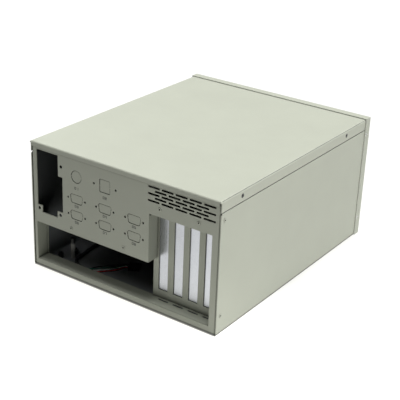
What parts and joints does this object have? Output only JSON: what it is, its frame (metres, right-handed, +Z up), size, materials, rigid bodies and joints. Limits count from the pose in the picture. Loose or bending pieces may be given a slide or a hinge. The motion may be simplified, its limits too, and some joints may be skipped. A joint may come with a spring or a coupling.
{
  "type": "wall-mount server chassis",
  "caption": "Folded steel wall-mount computer chassis with a lift-off cover, recessed card slots, connector knock-outs, vents and a front fan.",
  "frame": {"origin": "centre of the underside's bounding box, on the surface that the case stands on", "axes": "+Z up, the connector side faces -Y, the front panel faces +Y, +X to the right seen from the connector side"},
  "size_m": [0.265, 0.3292, 0.1587],
  "materials": {
    "painted_sheet": "fine textured powder coat, pale grey-green",
    "zinc_steel": "bright zinc plate",
    "black_steel": "black oxide",
    "black_plastic": "moulded, matte",
    "red_plastic": "moulded, gloss",
    "filter_foam": "open-cell foam",
    "green_lens": "diffused lens",
    "amber_lens": "diffused lens",
    "cable_jacket": "soft jacket",
    "wire_red": "insulation",
    "wire_white": "insulation",
    "wire_green": "insulation",
    "wire_black": "insulation"
  },
  "bodies": {
    "chassis": {"base_tray": "painted_sheet", "rear_panel": "painted_sheet", "slot_panel": "painted_sheet", "slot_cover_1": "zinc_steel", "slot_cover_2": "zinc_steel", "slot_cover_3": "zinc_steel", "slot_cover_4": "zinc_steel", "slot_screws": "zinc_steel", "top_cover": "painted_sheet", "cover_screws": "black_steel", "side_rivets": "painted_sheet", "panel_rivets": "painted_sheet", "front_wall": "painted_sheet", "front_panel": "painted_sheet", "front_panel_screws": "zinc_steel", "fan_frame": "black_plastic", "fan_screws": "zinc_steel", "fan_filter": "filter_foam", "power_switch": "black_plastic", "reset_switch": "black_plastic", "switch_nuts": "zinc_steel", "power_led": "green_lens", "drive_led": "amber_lens", "usb_socket": "black_plastic", "usb_socket_screws": "zinc_steel", "usb_cable": "cable_jacket", "usb_wire_red": "wire_red", "usb_wire_white": "wire_white", "usb_wire_green": "wire_green", "usb_wire_black": "wire_black", "usb_plug": "black_plastic", "drive_cage": "zinc_steel", "drive_cage_screws": "zinc_steel", "psu_bracket": "zinc_steel", "psu_bracket_rivets": "painted_sheet", "standoffs": "black_steel", "tall_standoff": "zinc_steel", "wall_mount_nuts": "zinc_steel"},
    "rotor": {"fan_rotor": "black_plastic"},
    "power_cap": {"power_button": "red_plastic"},
    "reset_cap": {"reset_button": "black_plastic"}
  },
  "joints": [
    {"name": "fan_spin", "type": "hinge", "parent": "chassis", "child": "rotor", "pos_m": [0.062, 0.13985, 0.082], "axis": [0, 1, 0], "continuous": true},
    {"name": "power_press", "type": "slide", "parent": "chassis", "child": "power_cap", "axis": [0, -1, 0], "range_m": [0, 0.0015], "stiffness_N_per_m": 600},
    {"name": "reset_press", "type": "slide", "parent": "chassis", "child": "reset_cap", "axis": [0, -1, 0], "range_m": [0, 0.0015], "stiffness_N_per_m": 400}
  ]
}
